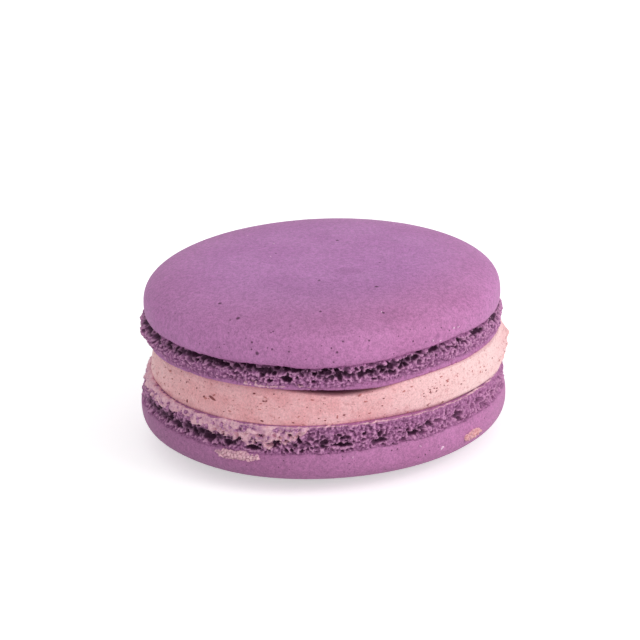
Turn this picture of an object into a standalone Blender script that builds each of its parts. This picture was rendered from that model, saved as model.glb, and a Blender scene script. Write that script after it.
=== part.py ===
"""French macaron: two smooth-capped meringue shells on ruffled feet, either side of a disc of buttercream.

Run it with  blender --background --python part.py  or from Blender's text editor.
Units are metres and +Z is up. The origin is on the table, under the middle of the macaron.
"""

import math
from dataclasses import dataclass

import bmesh
import bpy
from mathutils import Vector, noise

MM = 0.001

# Heights above the table, where the macaron rests on the crown of its lower shell.
LOWER_FACE = 9.1 * MM
UPPER_FACE = 13.6 * MM
TOP = 22.9 * MM

# The flat faces of the shells stay this far clear of the buttercream between them.
FACE_GAP = 0.3 * MM

SEGMENTS = 96
CROWN_RINGS = 6
FOOT_RINGS = 5

# Each shell's foot: a thin smooth lip beside the filling, then a rough band that swells out and tucks in.
LIP_HEIGHT = 0.9 * MM
LIP_INSET = 0.25 * MM
LIP_ROUNDING = 0.6 * MM
GROOVE_DEPTH = 0.75 * MM
GROOVE_SHARE = 0.14

# Each cap's lower edge, which overhangs the groove and rounds out to the widest line.
CAP_EDGE_INSET = 0.35 * MM
CAP_EDGE_RISE = 0.2 * MM

RUFFLE_DEPTH = 0.4 * MM
RUFFLE_LENGTH = 2.6 * MM

# The buttercream: it leans out to one side, waves in and out, and draws in a little at both faces.
FILLING_RADIUS = 22.0 * MM
FILLING_SHIFT = 0.95 * MM
FILLING_EDGE_INSET = 0.35 * MM
FILLING_WAVE = 0.35 * MM
FILLING_WAVE_LENGTH = 9.0 * MM
FILLING_RINGS = 6

SHELL_COLOUR = (0.44, 0.19, 0.40, 1.0)
FILLING_COLOUR = (0.78, 0.46, 0.45, 1.0)
SHELL_ROUGHNESS = 0.62
FILLING_ROUGHNESS = 0.5


@dataclass
class Shell:
    """One shell, with its flat face at height 0 and its crown up."""

    name: str
    radius: float
    height: float
    foot: float
    foot_swell: float
    widest: float
    squareness: float
    shift: float
    flat_crown: float
    seed: float


UPPER = Shell(
    name="shell_upper",
    radius=22.2 * MM,
    height=TOP - UPPER_FACE,
    foot=2.75 * MM,
    foot_swell=0.35 * MM,
    widest=4.2 * MM,
    squareness=2.8,
    shift=0.15 * MM,
    flat_crown=0.0,
    seed=3.0,
)
LOWER = Shell(
    name="shell_lower",
    radius=22.9 * MM,
    height=LOWER_FACE,
    foot=3.45 * MM,
    foot_swell=0.1 * MM,
    widest=4.3 * MM,
    squareness=3.4,
    shift=-0.15 * MM,
    flat_crown=9.0 * MM,
    seed=11.0,
)


def clear_scene():
    for item in list(bpy.data.objects):
        bpy.data.objects.remove(item)


def material(name, colour, roughness):
    made = bpy.data.materials.new(name)
    made.use_nodes = True
    shader = made.node_tree.nodes["Principled BSDF"]
    shader.inputs["Base Color"].default_value = colour
    shader.inputs["Roughness"].default_value = roughness
    shader.inputs["Metallic"].default_value = 0.0
    return made


def wave(angle, radius, height, length, seed):
    """Smooth noise from about -1 to 1 that joins up round the rim, with bumps about one length across."""
    place = Vector((radius * math.cos(angle), radius * math.sin(angle), height)) / length
    return noise.noise(place + Vector((0.0, 0.0, seed)))


def ring(radius_at, height):
    """The points of one level ring, whose radius may change with the angle."""
    points = []
    for index in range(SEGMENTS):
        angle = 2.0 * math.pi * index / SEGMENTS
        radius = radius_at(angle)
        points.append(Vector((radius * math.cos(angle), radius * math.sin(angle), height)))
    return points


def round_ring(radius, height):
    return ring(lambda angle: radius, height)


def lip_rings(shell):
    """The flat face's edge, rounded over into the lip."""
    edge = shell.radius - LIP_INSET - LIP_ROUNDING
    rings = []
    for turn in (0.0, 45.0, 90.0):
        out = LIP_ROUNDING * math.sin(math.radians(turn))
        up = LIP_ROUNDING * (1.0 - math.cos(math.radians(turn)))
        rings.append(round_ring(edge + out, up))
    return rings


def foot_rings(shell):
    """The rough band from the lip up to the groove under the cap."""
    rings = []
    for step in range(FOOT_RINGS):
        share = (step + 0.5) / FOOT_RINGS
        height = LIP_HEIGHT + share * (shell.foot - LIP_HEIGHT)
        swell = shell.foot_swell * math.sin(math.pi * share)
        tuck = GROOVE_DEPTH if share > 1.0 - GROOVE_SHARE else 0.0

        def radius_at(angle, height=height, base=shell.radius - LIP_INSET + swell - tuck):
            return base + RUFFLE_DEPTH * wave(angle, shell.radius, height, RUFFLE_LENGTH, shell.seed)

        rings.append(ring(radius_at, height))
    return rings


def cap_rings(shell):
    """The smooth cap: its overhanging edge, then a quarter superellipse from the widest line to the crown."""
    edge_height = shell.foot + CAP_EDGE_RISE
    middle = 0.5 * (edge_height + shell.widest)
    rings = [
        round_ring(shell.radius - GROOVE_DEPTH, shell.foot),
        round_ring(shell.radius - CAP_EDGE_INSET, edge_height),
        round_ring(shell.radius - 0.25 * CAP_EDGE_INSET, middle),
    ]
    rise = shell.height - shell.widest
    power = 2.0 / shell.squareness
    for step in range(CROWN_RINGS + 1):
        turn = 0.5 * math.pi * step / (CROWN_RINGS + 1)
        radius = shell.radius * math.cos(turn) ** power
        rings.append(round_ring(radius, shell.widest + rise * math.sin(turn) ** power))
    if shell.flat_crown:
        rings.append(round_ring(shell.flat_crown, shell.height))
    return rings


def skin(name, rings, crown_height, coat):
    """One closed solid from level rings, lowest first: a disc below, sides, and a disc or low cone on top."""
    mesh = bmesh.new()
    loops = [[mesh.verts.new(point) for point in points] for points in rings]
    mesh.faces.new(reversed(loops[0]))
    for lower, upper in zip(loops, loops[1:]):
        for index in range(SEGMENTS):
            after = (index + 1) % SEGMENTS
            mesh.faces.new((lower[index], lower[after], upper[after], upper[index]))
    crown = mesh.verts.new((0.0, 0.0, crown_height))
    for index in range(SEGMENTS):
        mesh.faces.new((loops[-1][index], loops[-1][(index + 1) % SEGMENTS], crown))
    data = bpy.data.meshes.new(name)
    mesh.to_mesh(data)
    mesh.free()
    data.materials.append(coat)
    data.shade_smooth()
    data.set_sharp_from_angle(angle=math.radians(40.0))
    made = bpy.data.objects.new(name, data)
    bpy.context.scene.collection.objects.link(made)
    return made


def build_shell(shell, coat):
    rings = lip_rings(shell) + foot_rings(shell) + cap_rings(shell)
    return skin(shell.name, rings, shell.height, coat)


def build_filling(coat):
    """The buttercream, with its lower face at height 0."""
    depth = UPPER_FACE - LOWER_FACE - 2.0 * FACE_GAP
    rings = []
    for step in range(FILLING_RINGS):
        share = step / (FILLING_RINGS - 1)
        inset = FILLING_EDGE_INSET * abs(2.0 * share - 1.0) ** 3
        height = share * depth

        def radius_at(angle, height=height, base=FILLING_RADIUS - inset):
            lobe = wave(angle, FILLING_RADIUS, height, FILLING_WAVE_LENGTH, 0.5)
            return base + FILLING_WAVE * lobe

        rings.append(ring(radius_at, height))
    return skin("filling", rings, depth, coat)


def build_macaron():
    shell_coat = material("shell", SHELL_COLOUR, SHELL_ROUGHNESS)
    cream_coat = material("filling", FILLING_COLOUR, FILLING_ROUGHNESS)

    macaron = bpy.data.objects.new("macaron", None)
    bpy.context.scene.collection.objects.link(macaron)

    upper = build_shell(UPPER, shell_coat)
    upper.location = (UPPER.shift, 0.0, UPPER_FACE)

    lower = build_shell(LOWER, shell_coat)
    lower.rotation_euler = (math.pi, 0.0, 0.0)
    lower.location = (LOWER.shift, 0.0, LOWER_FACE)

    filling = build_filling(cream_coat)
    filling.location = (FILLING_SHIFT, 0.0, LOWER_FACE + FACE_GAP)

    for piece in (upper, lower, filling):
        piece.parent = macaron


clear_scene()
build_macaron()
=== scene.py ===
"""Looks of a french macaron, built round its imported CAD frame.

Each shell becomes one closed mesh: a smooth cap over a foot with bubbles and caverns carved into it.
The buttercream between them is a mesh of its own, and so are its smears on the shells and the loose crumbs.
Shapes are worked out in millimetres. The angle phi runs from the front (-Y) towards the right (+X).
"""

import math
from dataclasses import dataclass, field
from itertools import product

import bmesh
import bpy
import numpy as np
from mathutils import Matrix, Vector

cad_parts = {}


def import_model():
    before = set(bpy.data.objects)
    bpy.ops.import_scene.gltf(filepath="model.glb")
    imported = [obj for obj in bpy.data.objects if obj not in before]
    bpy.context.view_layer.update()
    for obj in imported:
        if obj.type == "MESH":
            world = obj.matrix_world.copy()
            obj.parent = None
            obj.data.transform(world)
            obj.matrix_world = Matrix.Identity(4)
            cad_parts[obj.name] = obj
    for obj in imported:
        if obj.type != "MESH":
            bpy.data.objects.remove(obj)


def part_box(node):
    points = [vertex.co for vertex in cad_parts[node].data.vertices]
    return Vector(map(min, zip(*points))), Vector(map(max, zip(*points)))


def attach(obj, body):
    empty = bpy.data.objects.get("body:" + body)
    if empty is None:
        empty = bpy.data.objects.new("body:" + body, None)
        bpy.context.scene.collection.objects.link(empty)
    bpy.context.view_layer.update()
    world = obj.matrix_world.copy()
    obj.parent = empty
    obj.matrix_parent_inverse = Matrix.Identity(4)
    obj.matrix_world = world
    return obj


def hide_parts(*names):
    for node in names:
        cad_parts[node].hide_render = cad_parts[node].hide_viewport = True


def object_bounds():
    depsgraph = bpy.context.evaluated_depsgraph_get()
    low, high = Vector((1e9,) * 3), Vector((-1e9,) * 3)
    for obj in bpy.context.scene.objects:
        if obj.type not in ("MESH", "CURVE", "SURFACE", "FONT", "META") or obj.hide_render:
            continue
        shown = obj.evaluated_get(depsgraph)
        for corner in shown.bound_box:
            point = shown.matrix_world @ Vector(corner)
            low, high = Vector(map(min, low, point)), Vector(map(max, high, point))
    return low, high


MM = 0.001
TURN = 2.0 * math.pi

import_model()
cad_low, cad_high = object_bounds()


# ---- noise ----


SHUFFLE = np.random.default_rng(5).permutation(256)
SLOPES = np.random.default_rng(6).normal(size=(256, 3))
SLOPES /= np.linalg.norm(SLOPES, axis=1, keepdims=True)


def noise(points, length, seed=0):
    """Smooth gradient noise, about -1 to 1, with bumps about one length across. points is (..., 3)."""
    place = points / length + 17.3 * seed
    low = np.floor(place).astype(np.int64)
    part = place - low
    ease = part**3 * (part * (part * 6.0 - 15.0) + 10.0)
    total = np.zeros(points.shape[:-1])
    for corner in product((0, 1), repeat=3):
        cell = (low + corner) & 255
        pick = SHUFFLE[(SHUFFLE[(SHUFFLE[cell[..., 0]] + cell[..., 1]) & 255] + cell[..., 2]) & 255]
        reach = part - corner
        weight = np.prod(np.where(corner, ease, 1.0 - ease), axis=-1)
        total += weight * np.sum(SLOPES[pick] * reach, axis=-1)
    return 1.7 * total


def grains(across, upward, girth, size, seed):
    """Grains on a band that closes on itself: distances to the two nearest, and the nearest one's number."""
    count = int(round(girth / size))
    spots = np.random.default_rng(seed).uniform(0.05, 0.95, size=(count, 64, 3))
    x, y = across / girth * count, upward / size + 20.0
    column, row = np.floor(x).astype(int), np.floor(y).astype(int)
    nearest = np.full(x.shape, 9.0)
    second = nearest.copy()
    lot = np.zeros(x.shape)
    for right, up in product((-1, 0, 1), repeat=2):
        spot = spots[(column + right) % count, (row + up) % 64]
        away = np.hypot(column + right + spot[..., 0] - x, row + up + spot[..., 1] - y)
        closer = away < nearest
        second = np.where(closer, nearest, np.minimum(second, away))
        nearest = np.where(closer, away, nearest)
        lot = np.where(closer, spot[..., 2], lot)
    return nearest, second, lot


def on_rim(phi, height, radius=22.0, squeeze=1.0):
    """Places on a cylinder, for noise that joins up round the rim. squeeze makes bumps shorter upwards."""
    phi, height = np.broadcast_arrays(phi, height)
    return np.stack([radius * np.sin(phi), -radius * np.cos(phi), height * squeeze], axis=-1)


def bell(phi, middle, width):
    """1 at the middle angle, fading over the width. Angles in degrees; phi in radians."""
    away = (np.degrees(phi) - middle + 180.0) % 360.0 - 180.0
    return np.exp(-((away / width) ** 2))


def smooth(low, high, value):
    share = np.clip((value - low) / (high - low), 0.0, 1.0)
    return share * share * (3.0 - 2.0 * share)


# ---- mesh making ----


class Skin:
    """A closed mesh of rings, from pole to pole. Neighbouring rings may differ two to one in points."""

    def __init__(self, flipped=False):
        self.points = []
        self.values = {}
        self.quads = []
        self.triangles = []
        self.count = 0
        self.last = None
        self.flipped = flipped

    def _add(self, points, values):
        points = np.asarray(points, float).reshape(-1, 3)
        first = self.count
        self.points.append(points)
        self.count += len(points)
        for name, value in values.items():
            self.values.setdefault(name, []).append(np.broadcast_to(value, len(points)).astype(float))
        return np.arange(first, self.count)

    def pole(self, point, **values):
        tip = self._add(point, values)[0]
        if self.last is None:
            self.first_tip = tip
        else:
            ring = self.last
            self.triangles.append(np.stack([ring, np.roll(ring, -1), np.full(len(ring), tip)], axis=1))

    def ring(self, points, **values):
        made = self._add(points, values)
        if self.last is None:
            tip = np.full(len(made), self.first_tip)
            self.triangles.append(np.stack([tip, np.roll(made, -1), made], axis=1))
        else:
            self._stitch(self.last, made)
        self.last = made

    def _stitch(self, below, above):
        if len(below) == len(above):
            self.quads.append(np.stack([below, np.roll(below, -1), np.roll(above, -1), above], axis=1))
            return
        wide, narrow = (below, above) if len(below) > len(above) else (above, below)
        first, middle, after = wide[0::2], wide[1::2], np.roll(wide, -2)[0::2]
        near, next_near = narrow, np.roll(narrow, -1)
        fans = [(first, middle, near), (middle, next_near, near), (middle, after, next_near)]
        for fan in fans:
            fan = np.stack(fan, axis=1)
            self.triangles.append(fan if wide is below else fan[:, ::-1])

    def build(self, name, material):
        quads = np.concatenate(self.quads) if self.quads else np.zeros((0, 4), int)
        triangles = np.concatenate(self.triangles) if self.triangles else np.zeros((0, 3), int)
        values = {key: np.concatenate(value) for key, value in self.values.items()}
        points = np.concatenate(self.points)
        return make_piece(name, points, quads, triangles, material, values, self.flipped)


def make_piece(name, points, quads, triangles, material, values=None, flipped=False):
    """A smooth mesh object from points in millimetres, with one number per point under each name."""
    if flipped:
        quads, triangles = quads[:, ::-1], triangles[:, ::-1]
    corners = np.concatenate([quads.ravel(), triangles.ravel()]).astype(np.int32)
    sizes = np.concatenate([np.full(len(quads), 4), np.full(len(triangles), 3)])
    starts = np.concatenate([[0], np.cumsum(sizes)[:-1]]).astype(np.int32)
    mesh = bpy.data.meshes.new(name)
    mesh.vertices.add(len(points))
    mesh.vertices.foreach_set("co", (np.asarray(points) * MM).astype(np.float32).ravel())
    mesh.loops.add(len(corners))
    mesh.loops.foreach_set("vertex_index", corners)
    mesh.polygons.add(len(sizes))
    mesh.polygons.foreach_set("loop_start", starts)
    mesh.update(calc_edges=True)
    mesh.validate()
    for key, value in (values or {}).items():
        layer = mesh.attributes.new(key, "FLOAT", "POINT")
        layer.data.foreach_set("value", np.asarray(value, np.float32))
    mesh.shade_smooth()
    mesh.materials.append(material)
    piece = bpy.data.objects.new(name, mesh)
    bpy.context.scene.collection.objects.link(piece)
    return piece


# ---- materials ----


class Shading:
    """A node material put together by short calls. A value may be a socket, a number or a colour."""

    def __init__(self, name):
        self.material = bpy.data.materials.new(name)
        self.material.use_nodes = True
        self.tree = self.material.node_tree
        self.shader = self.tree.nodes["Principled BSDF"]
        self.place = self.node("ShaderNodeTexCoord").outputs["Object"]

    def node(self, kind, inputs=None, **settings):
        made = self.tree.nodes.new(kind)
        for key, value in settings.items():
            setattr(made, key, value)
        for key, value in (inputs or {}).items():
            self.feed(made.inputs[key], value)
        return made

    def feed(self, socket, value):
        if isinstance(value, bpy.types.NodeSocket):
            self.tree.links.new(value, socket)
        else:
            socket.default_value = value

    def attribute(self, name):
        return self.node("ShaderNodeAttribute", attribute_name=name).outputs["Fac"]

    def vector(self, operation, first, second=(0.0, 0.0, 0.0), output="Vector"):
        return self.node("ShaderNodeVectorMath", {0: first, 1: second}, operation=operation).outputs[output]

    def stretched(self, x, y, z):
        return self.vector("MULTIPLY", self.place, (x, y, z))

    def noise(self, length, detail=2.0, roughness=0.5, place=None):
        """Blender's noise, 0 to 1, with bumps about one length (in mm) across."""
        inputs = {"Vector": place or self.place, "Scale": 1000.0 / length}
        inputs.update(Detail=detail, Roughness=roughness)
        return self.node("ShaderNodeTexNoise", inputs).outputs["Fac"]

    def cells(self, length, place=None):
        """Distance to the nearest of scattered points in lengths, and that point's own random number."""
        inputs = {"Vector": place or self.place, "Scale": 1000.0 / length}
        found = self.node("ShaderNodeTexVoronoi", inputs)
        number = self.node("ShaderNodeSeparateColor", {0: found.outputs["Color"]}).outputs[0]
        return found.outputs["Distance"], number

    def sum(self, operation, first, second=0.5, third=0.5, clamp=False):
        inputs = {0: first, 1: second, 2: third}
        return self.node("ShaderNodeMath", inputs, operation=operation, use_clamp=clamp).outputs[0]

    def spread(self, value, low, high, to_low=0.0, to_high=1.0):
        inputs = {"Value": value, "From Min": low, "From Max": high, "To Min": to_low, "To Max": to_high}
        return self.node("ShaderNodeMapRange", inputs, interpolation_type="SMOOTHSTEP").outputs["Result"]

    def mix(self, share, first, second):
        made = self.node("ShaderNodeMix", data_type="RGBA")
        self.feed(made.inputs["Factor"], share)
        self.feed(made.inputs[6], first)
        self.feed(made.inputs[7], second)
        return made.outputs[2]

    def lighter(self, colour, factor):
        made = self.node("ShaderNodeVectorMath", {0: colour, 3: factor}, operation="SCALE")
        return made.outputs[0]

    def bump(self, height, distance, strength=1.0, below=None):
        inputs = {"Height": height, "Distance": distance * MM, "Strength": strength}
        made = self.node("ShaderNodeBump", inputs)
        if below is not None:
            self.feed(made.inputs["Normal"], below)
        return made.outputs["Normal"]

    def finish(self, colour, roughness, normal, **constants):
        self.feed(self.shader.inputs["Base Color"], colour)
        self.feed(self.shader.inputs["Roughness"], roughness)
        self.feed(self.shader.inputs["Normal"], normal)
        for key, value in constants.items():
            self.shader.inputs[key.replace("_", " ")].default_value = value
        return self.material


def rgb(red, green, blue):
    """A colour given as it looks on screen, 0 to 255, as the linear numbers that a shader takes."""
    shares = [channel / 255.0 for channel in (red, green, blue)]
    linear = [s / 12.92 if s <= 0.04045 else ((s + 0.055) / 1.055) ** 2.4 for s in shares]
    return (*linear, 1.0)


CAP_COLOUR = rgb(190, 128, 186)
CAP_DEEP = rgb(184, 121, 180)
CAP_WARM = rgb(194, 124, 173)
CAP_WARM_DEEP = rgb(188, 118, 166)
# Painted shade for the caps' less lit parts.
CAP_PAINTED_SHADE = rgb(148, 98, 138)
SPECK_COLOUR = rgb(120, 66, 112)
# Painted shade inside the pinholes.
PINHOLE_SHADE_COLOUR = rgb(76, 32, 66)
FOOT_COLOUR = rgb(184, 118, 168)
# The next two: painted highlight on the crumb's raised places and painted shade in its dips.
FOOT_PAINTED_HIGHLIGHT = rgb(222, 160, 202)
FOOT_PAINTED_SHADE = rgb(118, 62, 108)
# Painted shade inside the foot's bubbles, cracks and caverns.
HOLLOW_SHADE_COLOUR = rgb(70, 29, 62)
CREAM_COLOUR = rgb(247, 187, 193)
CREAM_WARM = rgb(240, 169, 175)
# Used both for light streaks and for painted light on the cream's lit side.
CREAM_PALE = rgb(252, 216, 215)
CREAM_PORE = rgb(204, 132, 136)
RECESS_COLOUR = rgb(224, 160, 152)
# Painted shadow under the upper lip and under the cream's overhang.
SLOT_SHADOW_COLOUR = rgb(118, 58, 84)
FLECK_COLOUR = rgb(116, 46, 56)

# Spacing in mm, smallest and largest size in spacings, and how much a kind keeps to the rim.
PINHOLE_KINDS = ((2.6, 0.02, 0.05, 0.0), (1.2, 0.02, 0.1, 0.7), (0.65, 0.0, 0.15, 1.0))


def shell_material():
    make = Shading("shell_skin")
    rim = make.attribute("rim")
    hollow = make.attribute("hollow")
    foot = make.attribute("foot")
    ridge = make.attribute("ridge")
    warm = make.attribute("warm")
    shade = make.attribute("shade")

    patches = make.spread(make.noise(6.0, detail=3.0), 0.36, 0.64)
    grain = make.noise(0.5, detail=3.0, roughness=0.8)
    fine = make.noise(0.18, detail=1.0)
    cool = make.mix(patches, CAP_DEEP, CAP_COLOUR)
    skin = make.mix(warm, cool, make.mix(patches, CAP_WARM_DEEP, CAP_WARM))
    grainy = make.sum("MULTIPLY_ADD", fine, 0.6, grain)
    # Painted shade: the skin goes darker on the caps' less lit parts.
    skin = make.mix(shade, skin, CAP_PAINTED_SHADE)
    skin = make.lighter(skin, make.spread(grainy, 0.5, 1.1, 0.76, 1.24))

    holes = []
    for length, smallest, largest, at_rim in PINHOLE_KINDS:
        distance, lot = make.cells(length)
        size = make.spread(lot, 0.4, 1.0, smallest, largest)
        hole = make.spread(make.sum("SUBTRACT", size, distance), -0.02, 0.02)
        kept = make.sum("MULTIPLY_ADD", rim, at_rim, 1.0 - at_rim)
        holes.append(make.sum("MULTIPLY", hole, kept))
    distance, lot = make.cells(0.42)
    size = make.spread(lot, 0.5, 1.0, 0.0, 0.24)
    speck = make.spread(make.sum("SUBTRACT", size, distance), -0.08, 0.08)
    places = [(upper.cap_place(x, y), size) for x, y, size in TOP_PINHOLES]
    places += [(upper.side_place(phi, height), size) for phi, height, size in SIDE_PINHOLES]
    for place, size in places:
        place = place * MM
        away = make.vector("DISTANCE", make.place, place, "Value")
        holes.append(make.spread(away, 1.5 * size * MM, 0.5 * size * MM))
    hole = holes[0]
    for other in holes[1:]:
        hole = make.sum("MAXIMUM", hole, other)
    on_cap = make.sum("SUBTRACT", 1.0, foot, clamp=True)
    hole = make.sum("MULTIPLY", hole, on_cap)
    skin = make.mix(make.sum("MULTIPLY", speck, 0.28), skin, SPECK_COLOUR)
    # Painted shade inside the pinholes, which the bump dents.
    skin = make.mix(make.sum("MULTIPLY", hole, 0.85), skin, PINHOLE_SHADE_COLOUR)
    marks = ((upper.cap_place(3.2, -6.1), 2.4, 1.6, 0.22), (upper.side_place(37.9, 4.42), 0.5, 0.45, 0.45))
    for place, wide, deep, strength in marks:
        place = place * MM
        beside = make.vector("SUBTRACT", make.place, place)
        scaled = (1.0 / (wide * MM), 1.0 / (deep * MM), 1.0 / (deep * MM))
        away = make.vector("LENGTH", make.vector("MULTIPLY", beside, scaled), output="Value")
        mark = make.spread(make.sum("MULTIPLY_ADD", grain, 0.6, away), 1.5, 0.5, 0.0, strength)
        skin = make.mix(mark, skin, SPECK_COLOUR)

    # The crumb's colour follows its relief: painted shade where the crumb is low, painted highlight where it
    # stands out.
    crumb = make.noise(0.3, detail=4.0, roughness=0.75)
    crumbed = make.mix(make.spread(crumb, 0.36, 0.62), FOOT_PAINTED_SHADE, FOOT_COLOUR)
    standing = make.sum("MULTIPLY_ADD", crumb, 0.12, ridge)
    crumbed = make.mix(make.spread(standing, 0.07, 0.24), crumbed, FOOT_PAINTED_HIGHLIGHT)
    crumbed = make.mix(make.spread(ridge, 0.0, -0.14, 0.0, 0.6), crumbed, FOOT_PAINTED_SHADE)
    crumbed = make.mix(0.2, crumbed, skin)
    colour = make.mix(foot, skin, crumbed)
    # Painted shade: the foot goes dark purple in its bubbles, cracks and the caverns' row.
    colour = make.mix(make.spread(hollow, 0.04, 0.72), colour, HOLLOW_SHADE_COLOUR)

    pits = make.sum("MAXIMUM", hole, speck)
    height = make.sum("MULTIPLY_ADD", pits, -0.8, make.sum("MULTIPLY", grainy, 0.5))
    normal = make.bump(height, 0.08, 0.5)
    normal = make.bump(make.sum("MULTIPLY", crumb, foot), 0.16, 0.7, below=normal)
    roughness = make.spread(grain, 0.2, 0.8, 0.56, 0.7)
    return make.finish(colour, roughness, normal, Specular_IOR_Level=0.35)


def cream_material():
    """The buttercream between the shells: porous and speckled, with painted light that makes it paler on the
    side towards the key lamp and a little on the left.
    """
    make = Shading("buttercream")
    recess = make.attribute("recess")
    pale = make.attribute("pale")
    slot = make.attribute("slot")
    patches = make.spread(make.noise(3.0, detail=4.0, roughness=0.6), 0.35, 0.65)
    grain = make.noise(0.6, detail=5.0, roughness=0.8)
    fine = make.noise(0.22, detail=2.0, roughness=0.7)
    lines = make.noise(1.4, detail=4.0, roughness=0.7, place=make.stretched(0.35, 0.35, 3.0))
    colour = make.mix(patches, CREAM_WARM, CREAM_COLOUR)
    # Painted light: paler on the side that faces the key lamp, and a little on the left.
    colour = make.mix(make.sum("MULTIPLY", pale, 0.85), colour, CREAM_PALE)
    colour = make.mix(make.spread(lines, 0.5, 0.75, 0.0, 0.3), colour, CREAM_PALE)
    colour = make.mix(make.spread(grain, 0.5, 0.28, 0.0, 0.75), colour, CREAM_PORE)
    colour = make.lighter(colour, make.spread(fine, 0.3, 0.7, 0.87, 1.11))
    colour = make.mix(recess, colour, RECESS_COLOUR)
    # Painted shadow: dark in the slot under the upper lip and in a thin line under the cream's bottom on the
    # right.
    colour = make.mix(make.sum("MULTIPLY", slot, 0.9), colour, SLOT_SHADOW_COLOUR)

    flat = make.stretched(1.0, 1.0, 1.8)
    pores = []
    for length, share, largest in ((0.9, 0.55, 0.2), (0.5, 0.6, 0.26)):
        distance, lot = make.cells(length, place=flat)
        size = make.spread(lot, share, 1.0, 0.0, largest)
        pores.append(make.spread(make.sum("SUBTRACT", size, distance), -0.06, 0.06))
    pore = make.sum("MAXIMUM", pores[0], pores[1])
    colour = make.mix(make.sum("MULTIPLY", pore, 0.7), colour, CREAM_PORE)

    height = make.sum("MULTIPLY_ADD", fine, 0.5, grain)
    height = make.sum("MULTIPLY_ADD", lines, 0.4, make.sum("SUBTRACT", height, pore))
    normal = make.bump(height, 0.12, 0.55)
    roughness = make.spread(grain, 0.2, 0.8, 0.42, 0.6)
    return make.finish(colour, roughness, normal, Specular_IOR_Level=0.4)


def smear_material(name, thick_colour, deep_colour, thin_colour):
    """Cream or crumb stuck on a shell. Where it is thin the shell's purple shows through."""
    make = Shading(name)
    thin = make.attribute("thin")
    grain = make.noise(0.3, detail=4.0, roughness=0.75)
    patches = make.noise(0.9, detail=2.0)
    colour = make.mix(make.spread(grain, 0.36, 0.62), deep_colour, thick_colour)
    colour = make.mix(make.spread(patches, 0.55, 0.35, 0.0, 0.5), colour, thin_colour)
    colour = make.mix(make.sum("MULTIPLY", thin, 0.6), colour, thin_colour)
    normal = make.bump(grain, 0.14, 0.7)
    roughness = make.spread(grain, 0.2, 0.8, 0.45, 0.65)
    return make.finish(colour, roughness, normal, Specular_IOR_Level=0.4)


def bit_material(name, colour, other):
    """Small bits of fruit or crumb in two tones."""
    make = Shading(name)
    grain = make.noise(0.25, detail=3.0, roughness=0.7)
    mixed = make.mix(make.spread(grain, 0.35, 0.65), other, colour)
    normal = make.bump(grain, 0.08, 0.6)
    return make.finish(mixed, make.spread(grain, 0.2, 0.8, 0.4, 0.6), normal, Specular_IOR_Level=0.4)


def floor_material():
    """Near-white paper. For the camera and reflections it gains a little light, so that it ends at white."""
    make = Shading("floor")
    path = make.node("ShaderNodeLightPath")
    seen = make.sum("MAXIMUM", path.outputs["Is Camera Ray"], path.outputs["Is Glossy Ray"])
    make.shader.inputs["Base Color"].default_value = (0.86, 0.86, 0.86, 1.0)
    make.shader.inputs["Roughness"].default_value = 0.9
    make.shader.inputs["Specular IOR Level"].default_value = 0.0
    make.shader.inputs["Emission Color"].default_value = (1.0, 1.0, 1.0, 1.0)
    make.feed(make.shader.inputs["Emission Strength"], make.sum("MULTIPLY", seen, FLOOR_LIFT))
    return make.material


# ---- shell shapes ----


FOOT_COLUMNS = 1536
FOOT_ROWS = 38
CAP_COLUMNS = 384
CREAM_COLUMNS = 960
LIP_ROUNDING = 0.3


def angles_of(count):
    return -math.pi + TURN * np.arange(count) / count


@dataclass
class Shell:
    """Sizes of one shell in its own frame: the flat face at height 0, the crown up, all in millimetres."""

    node: str
    up: float
    radius: float
    widest: float
    squareness: tuple
    lip_radius: float
    edge_radius: float
    seed: int
    caverns: list = field(default_factory=list)

    def __post_init__(self):
        low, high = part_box(self.node)
        self.centre = 0.5 * (low.x + high.x) / MM
        self.face = (low.z if self.up > 0 else high.z) / MM
        self.height = (high.z - low.z) / MM

    def world(self, phi, radius, height):
        phi, radius, height = np.broadcast_arrays(phi, radius, height)
        x = self.centre + radius * np.sin(phi)
        return np.stack([x, -radius * np.cos(phi), self.face + self.up * height], axis=-1)

    def outward(self, phi, lean):
        """The way a skin faces at an angle: lean 0 is straight out, 90 degrees is towards the crown."""
        phi, lean = np.broadcast_arrays(phi, lean)
        out = np.cos(lean)
        return np.stack([out * np.sin(phi), -out * np.cos(phi), self.up * np.sin(lean)], axis=-1)

    def edge(self, phi):
        """Height of the line where the smooth cap begins."""
        broken = 0.11 * noise(on_rim(phi, 0.0), 1.7, self.seed + 5)
        broken = broken + 0.08 * noise(on_rim(phi, 3.0), 0.6, self.seed + 6)
        return self.edge_height(phi) + broken

    def widest_height(self, phi):
        return np.maximum(self.widest, self.edge_height(phi) + 0.7)

    def side_radius(self, phi, height):
        """Radius of the cap at a height above the foot."""
        widest = self.widest_height(phi)
        low = self.edge_height(phi)
        share = np.clip((height - low) / (widest - low), 0.0, 1.0)
        below = self.edge_radius + (self.radius - self.edge_radius) * np.sqrt(1.0 - (1.0 - share) ** 2)
        wide, tall = self.squareness
        climbed = np.clip((height - widest) / (self.height - widest), 0.0, 1.0)
        turn = np.arcsin(climbed ** (0.5 * tall))
        return np.where(height < widest, below, self.radius * np.cos(turn) ** (2.0 / wide))

    def lip_drop(self, phi):
        """How far the lip stands past the flat face, over the cream."""
        return 0.0 * phi

    def lip_recess(self, phi, height):
        """How far the foot stands back near the lip."""
        return 0.0 * (phi + height)

    def softness(self, phi):
        """How much of the crumb's contrast is lost."""
        return 0.0 * phi


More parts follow.
